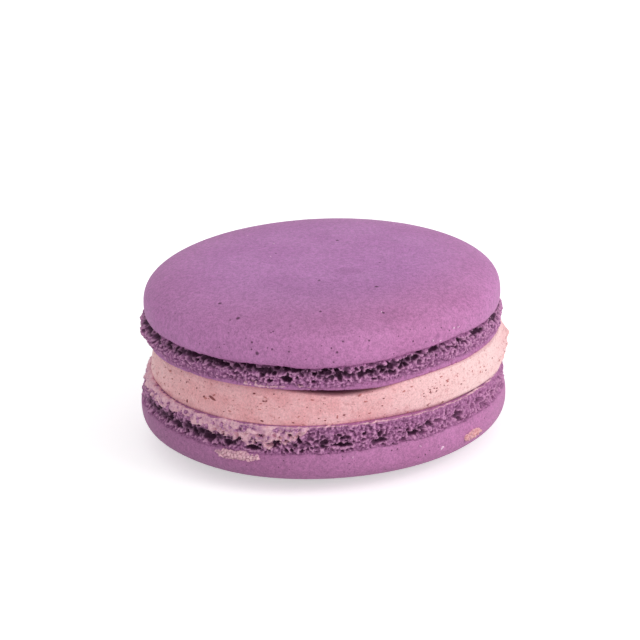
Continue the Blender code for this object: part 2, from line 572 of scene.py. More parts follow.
class UpperShell(Shell):
    def cap_place(self, x, y):
        """The place on top of the cap at x and y from the shell's middle, in millimetres."""
        radii, heights = cap_profile(self, np.linspace(0.0, 0.5 * math.pi, 400))
        height = float(np.interp(-math.hypot(x, y), -radii, heights))
        return Vector((x + self.centre, y, self.face + height))

    def side_place(self, degrees, height):
        """The place on the cap's side at an angle and a height above the flat face."""
        phi = np.array(math.radians(degrees))
        return Vector(self.world(phi, self.side_radius(phi, np.array(height)), height))

    def edge_height(self, phi):
        return 2.9 - 0.34 * bell(phi, 0.0, 16.0) + 0.45 * bell(phi, 44.0, 18.0)

    def lip_height(self, phi):
        return 0.38 + 0.3 * bell(phi, 48.0, 28.0) + 0.35 * noise(on_rim(phi, 0.0), 3.0, 40)

    def lip_drop(self, phi):
        return 0.05 + 0.4 * bell(phi, 16.0, 12.0) + 0.1 * bell(phi, -4.0, 14.0) + 0.2 * bell(phi, -68.0, 14.0)

    def swell(self, phi):
        return 0.1 + 0.6 * bell(phi, -92.0, 35.0) + 0.15 * bell(phi, 150.0, 50.0)

    def ruffles(self, phi):
        return 0.25 + 0.9 * bell(phi, -85.0, 38.0) + 0.4 * bell(phi, 140.0, 60.0)

    def warmth(self, phi, radius):
        return smooth(11.0, 21.0, radius) * (0.3 + 0.5 * bell(phi, 30.0, 55.0))

    # Painted shade on the upper cap: darker over the front of the top, off the crown.
    def shade(self, phi, height):
        return 0.25 * bell(phi, -5.0, 50.0) * smooth(5.5, 7.5, height) * smooth(9.3, 8.95, height)

    # How strongly the caverns' row is dug in and given painted shade.
    def darkening(self, phi):
        return 0.5 * bell(phi, -48.0, 28.0) + 0.45 * bell(phi, -8.0, 35.0)

    def dark_row(self, phi):
        return 0.8 - 0.25 * bell(phi, 15.0, 12.0)

    def cap_bulge(self, phi, height):
        return 0.12 * bell(phi, -90.0, 35.0) * smooth(7.0, 2.0, height)


class LowerShell(Shell):
    def edge_height(self, phi):
        return 3.42 + 0.33 * bell(phi, -28.0, 22.0) - 0.33 * bell(phi, 62.0, 35.0)

    def lip_height(self, phi):
        return 0.12 + 0.55 * bell(phi, 83.0, 18.0) + 0.2 * noise(on_rim(phi, 0.0), 3.0, 41)

    def swell(self, phi):
        return 0.05 + 0.05 * bell(phi, 150.0, 50.0)

    def ruffles(self, phi):
        return 0.25 + 0.5 * bell(phi, -60.0, 30.0) + 0.4 * bell(phi, 200.0, 60.0)

    def warmth(self, phi, radius):
        return 0.9 + 0.0 * (phi + radius)

    # How strongly the caverns' row is dug in and given painted shade.
    def darkening(self, phi):
        return 0.9 * bell(phi, -48.0, 28.0) - 0.9 * bell(phi, 55.0, 38.0)

    def softness(self, phi):
        return 0.35 * bell(phi, 60.0, 35.0)

    # Painted shade on the lower shell: darker on the left, away from the key lamp, and towards its underside,
    # and a little darker all over.
    def shade(self, phi, height):
        return 0.12 + 0.45 * bell(phi, -60.0, 45.0) + 0.25 * smooth(4.0, 9.0, height)

    def dark_row(self, phi):
        return 0.62 + 0.0 * phi

    def lip_recess(self, phi, height):
        return 0.9 * bell(phi, -102.0, 36.0) * smooth(2.4, 0.0, height)

    def cap_bulge(self, phi, height):
        return -0.25 * bell(phi, -50.0, 45.0) * smooth(4.5, 8.0, height)


@dataclass
class Cavern:
    """A large hole in a foot: its angle in degrees, its height above the flat face, half sizes and depth."""

    phi: float
    height: float
    half_width: float
    half_height: float
    depth: float


UPPER_CAVERNS = [
    Cavern(-66.0, 2.3, 0.7, 0.6, 0.8),
    Cavern(-46.0, 2.6, 1.3, 0.3, 1.1),
    Cavern(-40.0, 2.75, 1.0, 0.28, 1.3),
    Cavern(-33.5, 2.35, 0.95, 0.26, 1.4),
    Cavern(-24.5, 2.55, 0.6, 0.28, 1.1),
    Cavern(-19.5, 2.0, 0.25, 0.5, 1.0),
    Cavern(-17.5, 1.1, 0.5, 0.22, 1.0),
    Cavern(-12.0, 1.35, 0.85, 0.45, 1.5),
    Cavern(-9.0, 2.4, 0.9, 0.28, 1.3),
    Cavern(-0.5, 2.4, 0.6, 0.24, 1.1),
    Cavern(4.5, 1.4, 0.4, 0.6, 1.1),
    Cavern(13.0, 1.7, 1.3, 0.2, 1.1),
    Cavern(20.5, 2.1, 0.5, 0.5, 1.0),
    Cavern(37.0, 2.9, 0.7, 0.4, 1.3),
    Cavern(52.5, 1.5, 0.22, 0.5, 0.9),
    Cavern(57.0, 2.65, 1.2, 0.35, 1.1),
    Cavern(68.0, 2.4, 0.8, 0.25, 0.9),
]
LOWER_CAVERNS = [
    Cavern(-71.0, 2.2, 0.5, 0.5, 1.0),
    Cavern(-57.0, 1.5, 0.35, 0.5, 1.0),
    Cavern(-53.0, 2.6, 1.0, 0.4, 1.2),
    Cavern(-45.0, 2.5, 0.5, 0.5, 1.1),
    Cavern(-39.0, 2.8, 0.9, 0.4, 1.2),
    Cavern(-31.5, 3.0, 0.7, 0.45, 1.2),
    Cavern(-23.0, 3.1, 1.3, 0.35, 1.3),
    Cavern(-17.0, 2.6, 0.7, 0.3, 1.1),
    Cavern(-10.5, 1.2, 0.4, 0.3, 0.9),
    Cavern(-8.0, 1.9, 0.3, 0.4, 0.9),
    Cavern(5.0, 2.6, 1.3, 0.25, 1.2),
    Cavern(17.0, 1.7, 0.3, 0.6, 0.9),
    Cavern(17.0, 2.6, 1.1, 0.3, 1.1),
    Cavern(28.0, 2.5, 0.9, 0.4, 1.4),
    Cavern(33.5, 1.7, 0.4, 0.5, 1.0),
    Cavern(46.0, 2.0, 0.9, 0.55, 1.1),
    Cavern(57.0, 1.7, 0.8, 0.4, 0.9),
]


class Foot:
    """A shell's lip and foot as a grid of places, from the flat face over the lip up to the cap's edge.

    radius and height give the places and lean the way they face. path is the way along the skin from the lip's
    outermost line in mm, base the skin without its crumb and bubbles, and depth how deep the bubbles go.
    """

    def __init__(self, shell):
        self.shell = shell
        self.seed = shell.seed
        self.girth = TURN * shell.radius
        self.phi = angles_of(FOOT_COLUMNS)[None, :]
        edge = shell.edge(self.phi)
        self.drop = 0.05 * noise(on_rim(self.phi, 5.0), 3.0, self.seed + 7) - shell.lip_drop(self.phi)
        share = (np.arange(FOOT_ROWS) / (FOOT_ROWS - 1))[:, None]
        start = self.drop + LIP_ROUNDING
        self.height = start + share * (edge - 0.02 - start)
        self.edge = np.broadcast_to(edge, self.height.shape)
        self.lip = np.broadcast_to(shell.lip_height(self.phi), self.height.shape)
        self.phi = np.broadcast_to(self.phi, self.height.shape)
        self.path = self.height - start
        self.share = (self.height - self.lip) / (self.edge - self.lip)
        self.rough = smooth(-0.2, 0.2, self.height - self.lip)
        self.shape_base()
        self.shape_crumb()
        self.depth = np.zeros_like(self.height)
        self.open_bubbles()
        self.radius = self.base + self.rough * self.crumb - self.depth
        self.lean = np.zeros_like(self.height)
        self.add_lip()
        self.ridge = self.standing_out()

    def shape_base(self):
        """The foot swells between the lip and the cap, waves along the rim and breaks into ruffles."""
        shell, seed = self.shell, self.seed
        places = on_rim(self.phi, self.height, shell.radius)
        slanted = self.phi + 0.35 * self.height / shell.radius
        ruffle = noise(on_rim(slanted, 0.3 * self.height, shell.radius), 0.75, seed + 12)
        ruffle = shell.ruffles(self.phi) * (0.24 * ruffle + 0.12 * noise(places, 1.4, seed + 15))
        lumps = 0.13 * noise(places, 2.2, seed + 8) + 0.1 * noise(places, 0.9, seed + 9) + ruffle
        swell = shell.swell(self.phi) * np.sin(math.pi * np.clip(self.share, 0.0, 1.0) ** 0.8)
        tuck = (shell.lip_radius - shell.edge_radius) * smooth(0.5, 0.0, self.edge - self.height)
        # shade_row is a band of caverns under the cap: it is dug in a little here and given painted shade in
        # build_shell.
        self.shade_row = np.exp(-(((self.share - shell.dark_row(self.phi)) / 0.19) ** 2))
        clumps = 0.8 * noise(places, 1.3, seed + 17) + 0.7 * noise(places, 3.0, seed + 18)
        clumps = clumps + shell.darkening(self.phi)
        self.shade_row = self.shade_row * np.clip(0.7 + clumps, 0.0, 1.8)
        waves = 0.06 * noise(places, 7.0, seed + 11) - 0.22 * self.shade_row
        self.base = shell.lip_radius + swell + (0.2 + 0.8 * self.rough) * lumps + waves - tuck
        self.base = self.base - shell.lip_recess(self.phi, self.height)

    def shape_crumb(self):
        """Small grains with cracks between them, over the whole rough part."""
        places = on_rim(self.phi, self.height, self.shell.radius)
        arc = self.phi * self.shell.radius
        across = arc + 0.12 * noise(places, 0.45, self.seed + 20)
        upward = self.height + 0.12 * noise(places, 0.4, self.seed + 21)
        self.crumb = 0.05 * noise(places, 0.3, self.seed + 10)
        self.crack = np.zeros_like(self.height)
        for size, high, deep, seed in ((1.1, 0.14, 0.14, 32), (0.7, 0.12, 0.1, 30), (0.4, 0.07, 0.06, 31)):
            near, second, lot = grains(across, upward, self.girth, size, self.seed + seed)
            gap = smooth(0.22, 0.0, second - near)
            self.crumb += high * (lot - 0.5) + 0.5 * high * (1.0 - near**2) - deep * gap
            self.crack = np.maximum(self.crack, deep * gap)

    def open_bubbles(self):
        shell = self.shell
        chance = np.random.default_rng(self.seed)
        places = on_rim(self.phi, self.height, shell.radius)
        bend = 0.14 * noise(places, 0.5, self.seed) + 0.25 * noise(places, 1.6, self.seed + 1)
        self.arc = self.phi * shell.radius + bend
        self.level = self.height + 0.12 * noise(places, 0.45, self.seed + 2)
        self.level = self.level + 0.1 * noise(places, 1.5, self.seed + 3)
        for _ in range(300):
            angle = chance.uniform(-math.pi, math.pi)
            half = chance.uniform(0.22, 0.5)
            spot = self.between(angle, chance.normal(shell.dark_row(angle), 0.22))
            self.carve(angle, spot, half, 0.7 * half, chance.uniform(0.4, 0.8))
        for _ in range(2400):
            angle = chance.uniform(-math.pi, math.pi)
            size = 0.09 + 0.18 * chance.random() ** 2
            half_arc, half_height = size * chance.uniform(0.8, 1.4), size * chance.uniform(0.7, 1.1)
            spot = self.between(angle, chance.random())
            self.carve(angle, spot, half_arc, half_height, size * chance.uniform(1, 2))
        shown = [math.radians(cavern.phi) for cavern in shell.caverns]
        angle = -math.pi
        while angle < math.pi:
            angle += chance.uniform(1.2, 3.4) / shell.radius
            sizes = chance.uniform(0.35, 1.1), chance.uniform(0.2, 0.4), chance.uniform(0.5, 0.9)
            spot = self.between(angle, chance.normal(shell.dark_row(angle), 0.1))
            if not min(shown) < angle < max(shown):
                self.carve(angle, spot, *sizes)
        calm = 0.5 + 0.5 * smooth(0.1, 0.5, self.share)
        self.depth *= 1.0 - (1.0 - calm) * (0.5 + 0.5 * bell(self.phi, 60.0, 45.0))
        for cavern in shell.caverns:
            angle = math.radians(cavern.phi)
            self.carve(angle, cavern.height, cavern.half_width, cavern.half_height, 0.7 * cavern.depth)
        self.depth *= self.rough * smooth(0.0, 0.12, self.edge - self.height)
        for _ in range(500):
            angle = chance.uniform(-math.pi, math.pi)
            size = chance.uniform(0.06, 0.12)
            self.carve(angle, self.between(angle, 0.0) * chance.uniform(0.3, 1.0), size, size, 1.5 * size)

    def between(self, angle, share):
        """The height at a share of the way from the lip to the cap, at an angle."""
        column = int((angle + math.pi) / TURN * FOOT_COLUMNS) % FOOT_COLUMNS
        low, high = self.lip[0, column], self.edge[0, column]
        return low + share * (high - low)

    def carve(self, angle, height, half_arc, half_height, deepest):
        """Opens one round-bottomed hole. The warp moves no place by more than half a millimetre."""
        middle = int(round((angle + math.pi) / TURN * FOOT_COLUMNS))
        reach = int((half_arc + 0.5) / self.girth * FOOT_COLUMNS) + 1
        columns = np.arange(middle - reach, middle + reach + 1) % FOOT_COLUMNS
        away = self.arc[:, columns] - angle * self.shell.radius
        away = (np.abs(away + 0.5 * self.girth) % self.girth - 0.5 * self.girth) / half_arc
        upward = (self.level[:, columns] - height) / half_height
        bowl = deepest * np.sqrt(np.clip(1.0 - away**2 - upward**2, 0.0, None))
        self.depth[:, columns] = np.maximum(self.depth[:, columns], bowl)

    def add_lip(self):
        """Puts the rows of the flat face's rim and of the rounded lip before those of the foot."""
        outer, drop = self.radius[0], self.drop[0]
        rows = [(-0.75, 0.0 * drop, -90.0, -0.92), (-0.5, 0.5 * drop, -90.0, -0.67)]
        for bend in (0.0, 30.0, 60.0):
            out = LIP_ROUNDING * (math.sin(math.radians(bend)) - 1.0)
            up = LIP_ROUNDING * (1.0 - math.cos(math.radians(bend)))
            rows.append((out, drop + up, bend - 90.0, -LIP_ROUNDING * math.radians(90.0 - bend)))
        count = len(rows)

        def before(values, lip_values):
            return np.concatenate([np.broadcast_to(lip_values, (count, FOOT_COLUMNS)), values])

        self.radius = before(self.radius, [outer + row[0] for row in rows])
        self.height = before(self.height, [row[1] for row in rows])
        self.lean = before(self.lean, [[math.radians(row[2])] for row in rows])
        self.path = before(self.path, [[row[3]] for row in rows])
        self.base = before(self.base, self.radius[:count])
        for name in ("phi", "edge", "lip", "rough", "depth", "crack", "shade_row"):
            values = getattr(self, name)
            setattr(self, name, before(values, values[0] if name in ("phi", "edge", "lip") else 0.0))

    def standing_out(self):
        """How far each place stands out from those around it."""
        along, across = 4, 3
        wide = np.pad(self.radius, ((0, 0), (along, along)), mode="wrap")
        mean = sum(wide[:, step : step + FOOT_COLUMNS] for step in range(2 * along + 1)) / (2 * along + 1)
        tall = np.pad(mean, ((across, across), (0, 0)), mode="edge")
        mean = sum(tall[step : step + len(mean)] for step in range(2 * across + 1)) / (2 * across + 1)
        return (self.radius - mean) * self.rough * smooth(0.0, 0.3, self.edge - self.height)

    def places(self):
        return self.shell.world(self.phi, self.radius, self.height)

    def outward(self):
        return self.shell.outward(self.phi, self.lean)


def face_rings(skin, shell, outer_radius, values):
    """The flat inner face, which the cream covers, from its middle out, with few points near the middle."""
    skin.pole(shell.world(0.0, 0.0, 0.0), **values)
    count = 24
    while count < FOOT_COLUMNS:
        share = 1.0 - 1.6 * (1.0 / count) ** 0.5 * (1.0 - count / FOOT_COLUMNS)
        skin.ring(shell.world(angles_of(count), share * outer_radius, 0.0), **values)
        count *= 2


def cap_profile(shell, turn):
    """The cap's outline: radius and height at a turn, 0 at the widest line and 90 degrees at the crown."""
    wide, tall = shell.squareness
    radius = shell.radius * np.cos(turn) ** (2.0 / wide)
    height = shell.widest + (shell.height - shell.widest) * np.sin(turn) ** (2.0 / tall)
    return radius, height


def cap_turns(shell, spacing_of):
    """Turns from the widest line to near the crown whose points lie about the wanted spacing apart."""
    fine = np.linspace(0.0, 0.5 * math.pi, 4000)
    radius, height = cap_profile(shell, fine)
    steps = np.hypot(np.diff(radius), np.diff(height))
    along = np.concatenate([[0.0], np.cumsum(steps)])
    found = []
    place = 0.0
    while place < along[-1]:
        turn = float(np.interp(place, along, fine))
        found.append(turn)
        place += spacing_of(float(np.interp(place, along, radius)))
    return found


def cap_points(shell, phi, radius, height):
    """Places on the cap, with the shallow waves of a baked skin."""
    places = shell.world(phi, radius, height)
    push = 0.03 * noise(places, 7.5, shell.seed + 13) + 0.01 * noise(places, 2.2, shell.seed + 14)
    share = np.clip(np.asarray(radius) / shell.radius, 0.0, 1.0) ** 3
    out = share * push + shell.cap_bulge(phi, height)
    up = np.minimum((1.0 - share) * push, 0.0)
    return shell.world(phi, radius + out, height + up)


def build_shell(shell, material):
    skin = Skin(flipped=shell.up < 0)
    foot = Foot(shell)
    phi = foot.phi[0]
    plain = {"rim": 0.0, "hollow": 0.0, "foot": 0.6, "ridge": 0.0, "warm": 0.5, "shade": 0.0}
    face_rings(skin, shell, float(foot.radius[0].min()) - 0.15, plain)
    # Painted shade for the foot: darker in the bubbles, in the cracks between grains and along the caverns'
    # row.
    dark = np.maximum(foot.depth, 0.45 * foot.crack * foot.rough) + 0.34 * foot.shade_row * foot.rough
    crumbly = 1.0 - shell.softness(phi)
    dark = dark * crumbly
    warm = shell.warmth(phi, foot.radius)
    shade = shell.shade(phi, foot.height)
    for row in range(len(foot.radius)):
        skin.ring(
            shell.world(phi, foot.radius[row], foot.height[row]),
            rim=0.0,
            hollow=dark[row],
            foot=(0.3 + 0.7 * foot.rough[row]) * crumbly,
            ridge=foot.ridge[row],
            warm=warm[row],
            shade=shade[row],
        )
    edge = foot.edge[0]
    last = foot.radius[-1]
    rim_radius = shell.edge_radius + 0.07 * noise(on_rim(phi, 9.0), 1.3, shell.seed + 13)
    under = {"rim": 1.0, "ridge": 0.0, "warm": warm[-1], "shade": shade[-1]}
    # The two rings under the cap's edge get some painted shade as well.
    skin.ring(shell.world(phi, 0.5 * (last + rim_radius), edge - 0.01), hollow=0.2, foot=0.8, **under)
    skin.ring(shell.world(phi, rim_radius, edge + 0.04), hollow=0.05, foot=0.45, **under)

    def thinned(values, count):
        return values[:: FOOT_COLUMNS // count]

    widest = shell.widest_height(phi)
    on_cap = {"hollow": 0.0, "ridge": 0.0}
    for share in (0.06, 0.16, 0.3, 0.5, 0.75):
        count = 2 * CAP_COLUMNS if share < 0.1 else CAP_COLUMNS
        angles = angles_of(count)
        low, high = thinned(edge, count) + 0.04, thinned(widest, count)
        inner = thinned(rim_radius, count)
        radius = inner + (shell.radius - inner) * math.sqrt(1.0 - (1.0 - share) ** 2)
        height = low + share * (high - low)
        tint = {"warm": shell.warmth(angles, radius), "shade": shell.shade(angles, height)}
        points = cap_points(shell, angles, radius, height)
        skin.ring(points, rim=1.0, foot=0.3 * (1.0 - share) ** 6, **tint, **on_cap)
    for turn in cap_turns(shell, lambda r: 0.3 if r > 17.0 else 0.45):
        radius, height = cap_profile(shell, turn)
        count = CAP_COLUMNS
        while count > 12 and TURN * radius / count < 0.24:
            count //= 2
        angles = angles_of(count)
        lifted = (thinned(widest, count) - shell.widest) * (shell.height - height)
        lifted = lifted / (shell.height - shell.widest)
        rim = float(smooth(6.5, 1.0, height - shell.widest + shell.radius - radius))
        points = cap_points(shell, angles, radius, height + lifted)
        tint = {"warm": shell.warmth(angles, radius), "shade": shell.shade(angles, height)}
        skin.ring(points, rim=rim, foot=0.0, **tint, **on_cap)
    tint = {"warm": 0.0, "shade": 0.0}
    skin.pole(cap_points(shell, 0.0, 0.0, shell.height), rim=0.0, foot=0.0, **tint, **on_cap)
    piece = skin.build(shell.node + "_baked", material)
    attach(piece, "root")
    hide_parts(shell.node)
    return foot


# ---- the cream ----


CREAM_ROWS = 40


def cream_place(phi, share):
    """The cream's outline: radius and height at a share of the way from the lower shell to the upper one.

    It reaches the lower lip in front, spreads over it on the left, squeezes out in lobes on the right, and
    leaves a gap under the upper lip a little right of the front.
    """
    lean = 22.0 + 1.0 * np.sin(phi) - 0.25 * bell(phi, -80.0, 35.0)
    waist = 0.3 * np.abs(2.0 * share - 1.0) ** 3
    flare = (0.7 * (1.0 - share) ** 2 + 0.35 * (1.0 - share**2)) * smooth(25.0, -45.0, np.degrees(phi))
    flare = flare * smooth(-170.0, -110.0, np.degrees(phi))
    flare = flare + (0.35 * bell(phi, -14.0, 18.0) - 0.25 * bell(phi, 24.0, 12.0)) * (1.0 - share) ** 2
    undercut = 0.4 * smooth(0.1, 0.0, share) * bell(phi, 62.0, 26.0)
    places = on_rim(phi, share * 4.4)
    right = bell(phi, 90.0, 26.0)
    lobes = 0.85 * np.exp(-(((share - 0.5) / 0.14) ** 2))
    lobes = lobes + 0.35 * np.exp(-(((share - 0.15) / 0.1) ** 2)) - 0.5
    lumps = right * (lobes * (0.8 + 0.4 * noise(places, 2.4, 60)) + 0.14 * noise(places, 1.0, 61))
    slot = bell(phi, 4.0, 11.0)
    gap = 2.0 * slot * smooth(0.94, 1.0, share)
    lines = 0.05 * noise(on_rim(phi, share * 4.4, squeeze=7.0), 2.4, 62) * bell(phi, -50.0, 45.0)
    fine = 0.03 * noise(places, 0.5, 63) + 0.1 * noise(places, 4.0, 64) + 0.02 * noise(places, 0.25, 65)
    radius = lean - waist + flare - undercut - gap + lumps + lines + fine
    drop = (upper.lip_drop(phi) + 0.5 * slot) * smooth(0.6, 0.93, share)
    height = lower.face + share * (upper.face - lower.face) - drop
    return radius, height


def cream_point(phi, height):
    """The place on the cream at an angle and a height, and the way out from there."""
    share = (height - lower.face) / (upper.face - lower.face)
    radius, _ = cream_place(np.array([phi]), np.array([share]))
    out = np.array([math.sin(phi), -math.cos(phi), 0.0])
    return radius[0] * out + np.array([0.0, 0.0, height]), out


def build_cream(material):
    skin = Skin()

    def flat(height, shares):
        for count, share in shares:
            angles = angles_of(count)
            across = share * 20.0 * np.stack([np.sin(angles), -np.cos(angles), 0.0 * angles], axis=-1)
            skin.ring(across + np.array([0.0, 0.0, height]), recess=0.0, pale=0.0, slot=0.0)

    shares = [(15, 0.2), (30, 0.4), (60, 0.6), (120, 0.75), (240, 0.88), (480, 0.96)]
    skin.pole([0.0, 0.0, lower.face - 0.02], recess=0.0, pale=0.0, slot=0.0)
    flat(lower.face - 0.02, shares)
    phi = angles_of(CREAM_COLUMNS)
    for row in range(CREAM_ROWS):
        share = row / (CREAM_ROWS - 1)
        radius, height = cream_place(phi, share)
        points = np.stack([radius * np.sin(phi), -radius * np.cos(phi), height], axis=-1)
        recess = 0.7 * bell(phi, 88.0, 14.0) * math.exp(-(((share - 0.33) / 0.1) ** 2))
        tip = bell(phi, 96.0, 10.0) * math.exp(-(((share - 0.46) / 0.08) ** 2))
        # Painted light: paler on the right, towards the key lamp, and a little on the left.
        pale = bell(phi, 60.0, 38.0) + 0.4 * bell(phi, -75.0, 32.0)
        # Painted shadow for the slot under the upper lip, and for the line where the cream overhangs the lower
        # lip on the right.
        slot = bell(phi, 2.0, 14.0) * smooth(0.93, 0.98, share)
        slot = np.maximum(slot, 0.9 * bell(phi, 62.0, 25.0) * smooth(0.16, 0.04, share))
        skin.ring(points, recess=np.maximum(recess, tip), pale=pale, slot=slot)
    flat(upper.face, shares[::-1])
    skin.pole([0.0, 0.0, upper.face], recess=0.0, pale=0.0, slot=0.0)
    piece = skin.build("buttercream", material)
    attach(piece, "root")
    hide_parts("filling")


# ---- smears, crumbs, flecks ----


BURIED = 0.12
COAT_BACK = 0.3


def coat(name, points, outward, cover, material, flipped, values):
    """A closed layer over part of a grid of places. cover is its height over the skin, hidden below zero."""
    rows, columns = cover.shape
    ids = np.arange(rows * columns).reshape(rows, columns)
    shown = cover > 0.0
    kept = shown[:-1, :-1] | shown[1:, :-1] | shown[:-1, 1:] | shown[1:, 1:]
    corners = (ids[:-1, :-1], ids[:-1, 1:], ids[1:, 1:], ids[1:, :-1])
    top = np.stack(corners, axis=-1)[kept]
    below = rows * columns
    padded = np.pad(kept, 1)
    beyond = (padded[:-2, 1:-1], padded[1:-1, 2:], padded[2:, 1:-1], padded[1:-1, :-2])
    faces = [top, top[:, ::-1] + below]
    for side in range(4):
        start, end = corners[side], corners[(side + 1) % 4]
        edge = kept & ~beyond[side]
        start, end = start[edge], end[edge]
        faces.append(np.stack([end, start, start + below, end + below], axis=-1))
    faces = np.concatenate(faces)
    height = np.maximum(cover, -BURIED)[..., None]
    front = (points + height * outward).reshape(-1, 3)
    back = (points - COAT_BACK * outward).reshape(-1, 3)
    places = np.concatenate([front, back])
    used, faces = np.unique(faces, return_inverse=True)
    faces = faces.reshape(-1, 4)
    values = {key: np.tile(np.ravel(value), 2)[used] for key, value in values.items()}
    piece = make_piece(name, places[used], faces, np.zeros((0, 3), int), material, values, flipped)
    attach(piece, "root")


def film_over(foot, thickness):
    """How far a film stands over a foot's crumb. It fills small pits and leaves caverns open."""
    open_part = foot.depth * smooth(0.2, 0.5, foot.depth)
    return foot.base + thickness - open_part - foot.radius


def smear_lower_foot(foot, material):
    """Buttercream smeared over the left of the lower foot, with a ragged border towards the dark crumb."""
    phi, path = foot.phi, foot.path
    places = foot.places()
    degrees = np.degrees(phi)
    border = 1.0 + 1.5 * bell(phi, -24.0, 17.0)
    teeth = 1.6 * np.abs(noise(on_rim(phi, 0.0), 1.8, 301)) - 0.5 + 0.3 * noise(places, 0.5, 302)
    border = (border + 0.8 * teeth) * smooth(-3.0, -10.0, degrees) * smooth(-125.0, -85.0, degrees)
    top = -0.36 - 0.4 * smooth(-42.0, -62.0, degrees) + 0.1 * noise(on_rim(phi, 2.0), 1.5, 303)
    inside = smooth(-0.1, 0.12, path - top) * smooth(-0.12, 0.15, border - path)
    patchy = 0.2 * noise(places, 1.0, 304) + 0.2 * noise(places, 0.5, 305) + 0.08 * noise(places, 0.22, 306)
    patchy = patchy * smooth(-0.6, 0.3, path)
    thickness = -0.4 + inside * (0.5 + 0.1 * bell(phi, -95.0, 25.0) + patchy)
    cover = film_over(foot, thickness)
    thin = smooth(0.12, 0.0, cover)
    coat("buttercream_smear", places, foot.outward(), cover, material, True, {"thin": thin})


def traces_on_upper_lip(foot, material):
    """Thin buttercream traces left along the upper lip, in front."""
    phi, path = foot.phi, foot.path
    places = foot.places()
    along = bell(phi, -20.0, 9.0) + 0.6 * bell(phi, -5.0, 4.0) + 0.4 * bell(phi, 33.0, 9.0)
    broken = 0.5 * noise(places, 0.8, 311) + 0.5 * noise(places, 0.35, 312)
    inside = smooth(0.42, 0.05, np.abs(path - 0.08)) * along
    cover = film_over(foot, -0.32 + 0.42 * inside + 0.4 * broken * np.minimum(along, 1.0))
    cover = np.where(path > 0.6, -1.0, cover)
    thin = np.full_like(cover, 0.3)
    coat("buttercream_traces", places, foot.outward(), cover, material, False, {"thin": thin})


def dab_on_cap(name, shell, middle, half_width, bottom, top, thickness, porous, seed, material):
    """A lumpy, porous dab on a cap's side, round a middle angle in degrees, from one height to another."""
    reach = half_width + 0.6
    arc = np.arange(-reach, reach, 0.085)[None, :]
    height = np.arange(bottom - 0.4, top + 0.4, 0.075)[:, None]
    phi = math.radians(middle) + arc / shell.radius
    phi, height, arc = np.broadcast_arrays(phi, height, arc)
    radius = shell.side_radius(phi, height)
    points = shell.world(phi, radius, height)
    rough = (0.2 + 0.6 * porous) * noise(points, 1.1, seed)
    rough = rough + (0.2 + 0.4 * porous) * noise(points, 0.4, seed + 1)
    level = (height - 0.5 * (bottom + top)) / (0.5 * (top - bottom) + 0.15)
    near, second, lot = grains(arc, height, 40.0, 0.5, seed)
    lumps = 0.25 * (lot - 0.4) - porous * smooth(0.2, 0.0, second - near)
    lumps = lumps + 0.2 * noise(points, 0.5, seed + 2)
    body = smooth(1.2, 0.75, np.abs(arc / half_width) ** 3 + level**2 + rough)
    cover = body * (thickness + thickness * 2.0 * lumps) - 0.2 * (1.0 - body)
    outward = shell.outward(phi, 0.0)
    coat(name, points, outward, cover, material, shell.up < 0, {"thin": smooth(0.14, 0.02, cover)})


class Scatter:
    """Many small uneven lumps that make up one piece."""

    def __init__(self, seed):
        self.chance = np.random.default_rng(seed)
        ball = bmesh.new()
        bmesh.ops.create_icosphere(ball, subdivisions=2, radius=1.0)
        self.ball = np.array([vertex.co[:] for vertex in ball.verts])
        self.faces = np.array([[vertex.index for vertex in face.verts] for face in ball.faces])
        ball.free()
        self.points = []
        self.count = 0

    def add(self, centre, outward, length, width, thickness, tilt):
        """One lump of these full sizes, flat on the skin, its length turned by tilt degrees from level."""
        outward = np.asarray(outward, float)
        level = np.cross([0.0, 0.0, 1.0], outward)
        level /= np.linalg.norm(level)
        steep = np.cross(outward, level)
        turn = math.radians(tilt)
        long_way = math.cos(turn) * level + math.sin(turn) * steep
        wide_way = np.cross(outward, long_way)
        uneven = 1.0 + 0.35 * noise(self.ball + 10.0 * self.chance.random(3), 0.9, 70)[:, None]
        shape = self.ball * uneven * 0.5
        self.points.append(
            np.asarray(centre)
            + shape[:, :1] * length * long_way
            + shape[:, 1:2] * width * wide_way
            + shape[:, 2:] * thickness * outward
        )
        self.count += 1

    def build(self, name, material, slot):
        size = len(self.ball)
        faces = np.concatenate([self.faces + size * index for index in range(self.count)])
        piece = make_piece(name, np.concatenate(self.points), np.zeros((0, 4), int), faces, material)
        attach(piece, "root")


def browned_bits(material):
    """Lighter brown-red smears of fruit in the cream."""
    heap = Scatter(405)
    for _ in range(130):
        phi = heap.chance.uniform(-math.pi, math.pi)
        centre, out = cream_point(phi, heap.chance.uniform(9.3, 13.1))
        length = heap.chance.uniform(0.2, 0.6)
        heap.add(centre, out, length, 0.4 * length, 0.07, heap.chance.normal(10.0, 30.0))
    heap.build("fruit_smears", material, "filling")


def fruit_flecks(material):
    """Dark red bits of fruit in the cream's outside: some shown ones, and small ones all round."""
    heap = Scatter(400)

    def add(degrees, height, length, width, tilt):
        centre, out = cream_point(math.radians(degrees), height)
        heap.add(centre, out, length, width, 0.12, tilt)

    add(-38.0, 11.1, 1.5, 0.36, -22.0)
    add(-42.0, 11.05, 0.4, 0.28, 10.0)
    add(-50.0, 9.75, 0.5, 0.3, 60.0)
    add(-19.5, 11.9, 0.3, 0.2, 0.0)
    add(-18.6, 11.95, 0.35, 0.16, 20.0)
    for _ in range(9):
        add(36.0 + heap.chance.normal(0.0, 2.4), 11.45 + heap.chance.normal(0.0, 0.25),
            heap.chance.uniform(0.15, 0.35), 0.15, heap.chance.uniform(-60.0, 60.0))
    for _ in range(110):
        degrees = heap.chance.uniform(-180.0, 180.0)
        length = 0.12 + 0.3 * heap.chance.random() ** 3
        add(degrees, heap.chance.uniform(9.4, 13.0), length, 0.55 * length, heap.chance.uniform(-40.0, 40.0))
    heap.build("fruit_flecks", material, "filling")


